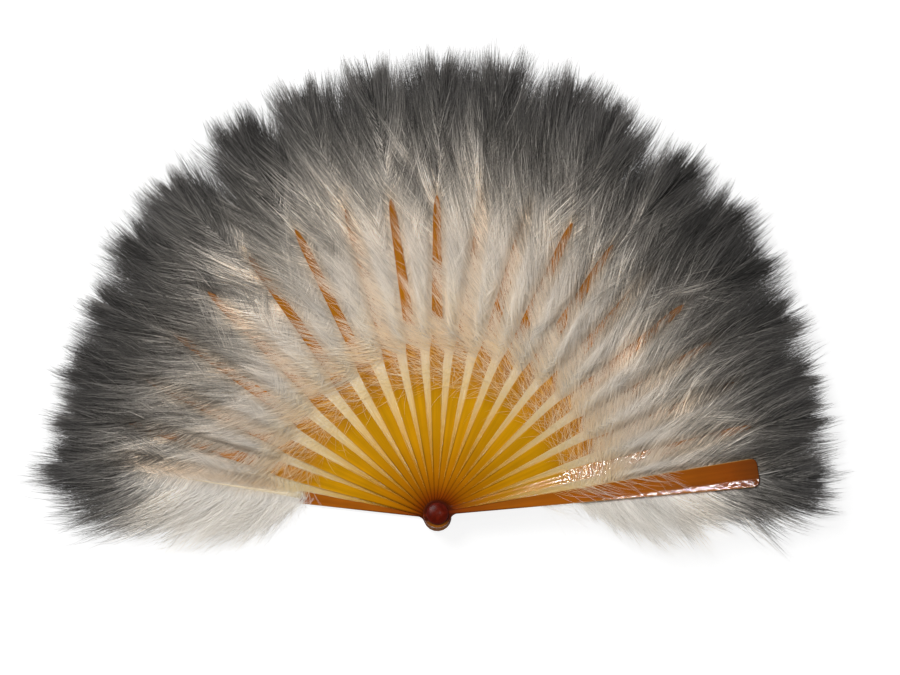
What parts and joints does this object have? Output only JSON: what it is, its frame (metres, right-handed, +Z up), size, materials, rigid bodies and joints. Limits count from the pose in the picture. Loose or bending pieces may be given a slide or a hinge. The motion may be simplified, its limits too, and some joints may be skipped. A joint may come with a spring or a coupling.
{
  "type": "folding feather fan",
  "caption": "Folding hand fan of translucent amber sticks on a rivet, each stick carrying a downy white plume with charcoal tips.",
  "frame": {"origin": "on the rivet's axis, in the flat rear face of the rivet's rear cap", "axes": "+X along the spread towards the front guard, +Y from the rivet towards the plumes, +Z up the rivet and out of the front stud"},
  "size_m": [0.5166, 0.3314, 0.0305],
  "materials": {
    "guard": "polished, translucent orange-brown",
    "stick": "polished, translucent golden amber",
    "plume": "downy, white with charcoal tips",
    "rivet": "polished, dark red-brown"
  },
  "bodies": {
    "rear_guard": {"rear_guard": "guard", "rear_guard_plume": "plume", "rivet_rear_cap": "rivet", "rivet_pin": "rivet", "rivet_stud": "rivet"},
    "front_guard": {"front_guard": "guard", "front_guard_plume": "plume"},
    "stick_01": {"stick_01": "stick", "plume_01": "plume"},
    "stick_02": {"stick_02": "stick", "plume_02": "plume"},
    "stick_03": {"stick_03": "stick", "plume_03": "plume"},
    "stick_04": {"stick_04": "stick", "plume_04": "plume"},
    "stick_05": {"stick_05": "stick", "plume_05": "plume"},
    "stick_06": {"stick_06": "stick", "plume_06": "plume"},
    "stick_07": {"stick_07": "stick", "plume_07": "plume"},
    "stick_08": {"stick_08": "stick", "plume_08": "plume"},
    "stick_09": {"stick_09": "stick", "plume_09": "plume"},
    "stick_10": {"stick_10": "stick", "plume_10": "plume"},
    "stick_11": {"stick_11": "stick", "plume_11": "plume"},
    "stick_12": {"stick_12": "stick", "plume_12": "plume"},
    "stick_13": {"stick_13": "stick", "plume_13": "plume"},
    "stick_14": {"stick_14": "stick", "plume_14": "plume"},
    "stick_15": {"stick_15": "stick", "plume_15": "plume"},
    "stick_16": {"stick_16": "stick", "plume_16": "plume"},
    "stick_17": {"stick_17": "stick", "plume_17": "plume"},
    "stick_18": {"stick_18": "stick", "plume_18": "plume"}
  },
  "joints": [
    {"name": "fold", "type": "hinge", "parent": "rear_guard", "child": "front_guard", "pos_m": [0, 0, 0], "axis": [0, 0, 1], "range_deg": [0, 163.88]},
    {"name": "stick_01_turn", "type": "hinge", "parent": "rear_guard", "child": "stick_01", "pos_m": [0, 0, 0], "axis": [0, 0, 1], "range_deg": [0, 155.63]},
    {"name": "stick_02_turn", "type": "hinge", "parent": "rear_guard", "child": "stick_02", "pos_m": [0, 0, 0], "axis": [0, 0, 1], "range_deg": [0, 147.36]},
    {"name": "stick_03_turn", "type": "hinge", "parent": "rear_guard", "child": "stick_03", "pos_m": [0, 0, 0], "axis": [0, 0, 1], "range_deg": [0, 139.09]},
    {"name": "stick_04_turn", "type": "hinge", "parent": "rear_guard", "child": "stick_04", "pos_m": [0, 0, 0], "axis": [0, 0, 1], "range_deg": [0, 130.82]},
    {"name": "stick_05_turn", "type": "hinge", "parent": "rear_guard", "child": "stick_05", "pos_m": [0, 0, 0], "axis": [0, 0, 1], "range_deg": [0, 122.55]},
    {"name": "stick_06_turn", "type": "hinge", "parent": "rear_guard", "child": "stick_06", "pos_m": [0, 0, 0], "axis": [0, 0, 1], "range_deg": [0, 114.28]},
    {"name": "stick_07_turn", "type": "hinge", "parent": "rear_guard", "child": "stick_07", "pos_m": [0, 0, 0], "axis": [0, 0, 1], "range_deg": [0, 106.01]},
    {"name": "stick_08_turn", "type": "hinge", "parent": "rear_guard", "child": "stick_08", "pos_m": [0, 0, 0], "axis": [0, 0, 1], "range_deg": [0, 97.74]},
    {"name": "stick_09_turn", "type": "hinge", "parent": "rear_guard", "child": "stick_09", "pos_m": [0, 0, 0], "axis": [0, 0, 1], "range_deg": [0, 89.47]},
    {"name": "stick_10_turn", "type": "hinge", "parent": "rear_guard", "child": "stick_10", "pos_m": [0, 0, 0], "axis": [0, 0, 1], "range_deg": [0, 81.2]},
    {"name": "stick_11_turn", "type": "hinge", "parent": "rear_guard", "child": "stick_11", "pos_m": [0, 0, 0], "axis": [0, 0, 1], "range_deg": [0, 72.93]},
    {"name": "stick_12_turn", "type": "hinge", "parent": "rear_guard", "child": "stick_12", "pos_m": [0, 0, 0], "axis": [0, 0, 1], "range_deg": [0, 64.66]},
    {"name": "stick_13_turn", "type": "hinge", "parent": "rear_guard", "child": "stick_13", "pos_m": [0, 0, 0], "axis": [0, 0, 1], "range_deg": [0, 55.04]},
    {"name": "stick_14_turn", "type": "hinge", "parent": "rear_guard", "child": "stick_14", "pos_m": [0, 0, 0], "axis": [0, 0, 1], "range_deg": [0, 45.42]},
    {"name": "stick_15_turn", "type": "hinge", "parent": "rear_guard", "child": "stick_15", "pos_m": [0, 0, 0], "axis": [0, 0, 1], "range_deg": [0, 35.8]},
    {"name": "stick_16_turn", "type": "hinge", "parent": "rear_guard", "child": "stick_16", "pos_m": [0, 0, 0], "axis": [0, 0, 1], "range_deg": [0, 26.18]},
    {"name": "stick_17_turn", "type": "hinge", "parent": "rear_guard", "child": "stick_17", "pos_m": [0, 0, 0], "axis": [0, 0, 1], "range_deg": [0, 16.56]},
    {"name": "stick_18_turn", "type": "hinge", "parent": "rear_guard", "child": "stick_18", "pos_m": [0, 0, 0], "axis": [0, 0, 1], "range_deg": [0, 8.29]}
  ],
  "couplings": [
    {"joint": "stick_01_turn", "follows": "fold", "ratio": 0.94954},
    {"joint": "stick_02_turn", "follows": "fold", "ratio": 0.89907},
    {"joint": "stick_03_turn", "follows": "fold", "ratio": 0.84861},
    {"joint": "stick_04_turn", "follows": "fold", "ratio": 0.79814},
    {"joint": "stick_05_turn", "follows": "fold", "ratio": 0.74768},
    {"joint": "stick_06_turn", "follows": "fold", "ratio": 0.69722},
    {"joint": "stick_07_turn", "follows": "fold", "ratio": 0.64675},
    {"joint": "stick_08_turn", "follows": "fold", "ratio": 0.59629},
    {"joint": "stick_09_turn", "follows": "fold", "ratio": 0.54583},
    {"joint": "stick_10_turn", "follows": "fold", "ratio": 0.49536},
    {"joint": "stick_11_turn", "follows": "fold", "ratio": 0.4449},
    {"joint": "stick_12_turn", "follows": "fold", "ratio": 0.39443},
    {"joint": "stick_13_turn", "follows": "fold", "ratio": 0.33573},
    {"joint": "stick_14_turn", "follows": "fold", "ratio": 0.27703},
    {"joint": "stick_15_turn", "follows": "fold", "ratio": 0.21833},
    {"joint": "stick_16_turn", "follows": "fold", "ratio": 0.15963},
    {"joint": "stick_17_turn", "follows": "fold", "ratio": 0.10093},
    {"joint": "stick_18_turn", "follows": "fold", "ratio": 0.05046}
  ]
}
